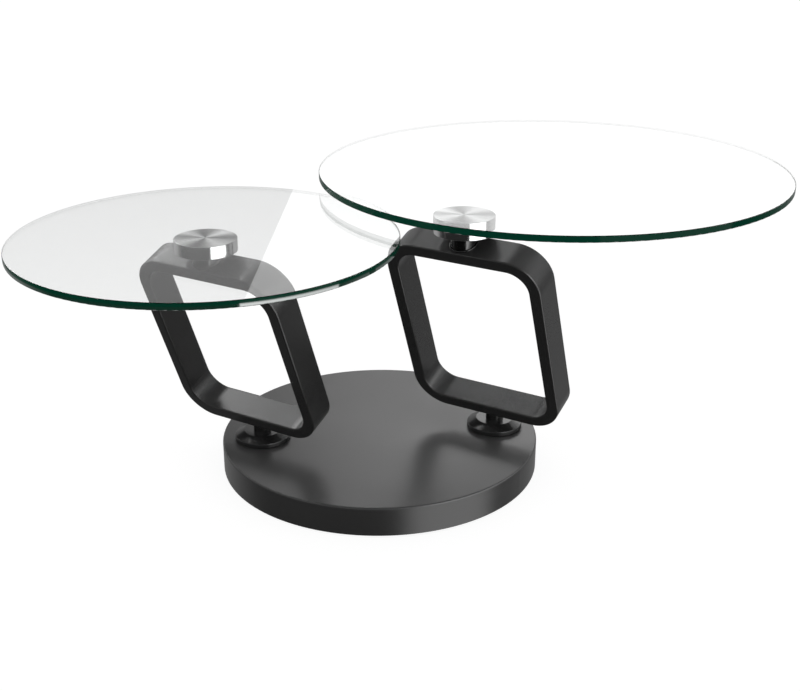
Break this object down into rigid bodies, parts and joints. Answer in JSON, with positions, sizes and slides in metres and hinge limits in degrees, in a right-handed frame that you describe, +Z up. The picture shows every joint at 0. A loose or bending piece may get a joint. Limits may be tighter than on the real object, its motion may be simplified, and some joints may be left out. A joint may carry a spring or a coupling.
{
  "type": "swivel coffee table",
  "caption": "Swivel coffee table: weighted round steel base, leaning ring arms that turn on it, and round clear glass tops on brushed discs, each on its own swivel.",
  "frame": {"origin": "centre of the round base, on the floor", "axes": "+Z up; +X along the bars of both arm frames at rest, towards the taller arm; both frames lean towards -Y; +Y is the back, where the larger top reaches at rest"},
  "size_m": [0.9445, 1.1875, 0.4311],
  "materials": {
    "base_coat": "satin",
    "plate_coat": "matte",
    "ballast_iron": "matte",
    "floor_pad": "matte",
    "zinc_steel": "satin",
    "turned_steel": "satin",
    "bush_plastic": "matte",
    "washer_plastic": "matte",
    "spindle_steel": "satin",
    "cone_coat": "satin",
    "frame_coat": "satin",
    "neck_chrome": "polished",
    "black_steel": "satin",
    "disc_aluminium": "satin",
    "table_glass": "polished"
  },
  "bodies": {
    "base": {"base_cover": "base_coat", "bottom_plate": "plate_coat", "ballast_plate": "ballast_iron", "floor_pad": "floor_pad", "rim_blocks": "zinc_steel", "rim_screws": "zinc_steel", "ballast_screws": "zinc_steel", "housing_screws": "zinc_steel", "left_pivot_housing": "turned_steel", "left_upper_bush": "bush_plastic", "left_lower_bush": "bush_plastic", "left_thrust_washer": "washer_plastic", "right_pivot_housing": "turned_steel", "right_upper_bush": "bush_plastic", "right_lower_bush": "bush_plastic", "right_thrust_washer": "washer_plastic"},
    "left_arm": {"left_spindle": "spindle_steel", "left_spindle_cone": "cone_coat", "left_shoulder_washer": "zinc_steel", "left_locknut": "zinc_steel", "left_frame": "frame_coat", "left_neck": "neck_chrome", "left_top_bush": "washer_plastic", "left_pin_bush": "bush_plastic"},
    "left_top": {"left_swivel_pin": "turned_steel", "left_retainer_washer": "black_steel", "left_retainer_screw": "black_steel", "left_disc": "disc_aluminium", "left_glass": "table_glass"},
    "right_arm": {"right_spindle": "spindle_steel", "right_spindle_cone": "cone_coat", "right_shoulder_washer": "zinc_steel", "right_locknut": "zinc_steel", "right_frame": "frame_coat", "right_neck": "neck_chrome", "right_top_bush": "washer_plastic", "right_pin_bush": "bush_plastic"},
    "right_top": {"right_swivel_pin": "turned_steel", "right_retainer_washer": "black_steel", "right_retainer_screw": "black_steel", "right_disc": "disc_aluminium", "right_glass": "table_glass"}
  },
  "joints": [
    {"name": "left_arm_swivel", "type": "hinge", "parent": "base", "child": "left_arm", "pos_m": [-0.14696, -0.11482, 0.0465], "axis": [0, 0, 1], "range_deg": [-110, 7]},
    {"name": "right_arm_swivel", "type": "hinge", "parent": "base", "child": "right_arm", "pos_m": [0.14696, 0.11482, 0.0465], "axis": [0, 0, 1], "continuous": true},
    {"name": "left_top_swivel", "type": "hinge", "parent": "left_arm", "child": "left_top", "pos_m": [-0.14696, -0.22367, 0.37713], "axis": [0, 0, 1], "continuous": true},
    {"name": "right_top_swivel", "type": "hinge", "parent": "right_arm", "child": "right_top", "pos_m": [0.14696, -0.00198, 0.40064], "axis": [0, 0, 1], "continuous": true}
  ]
}
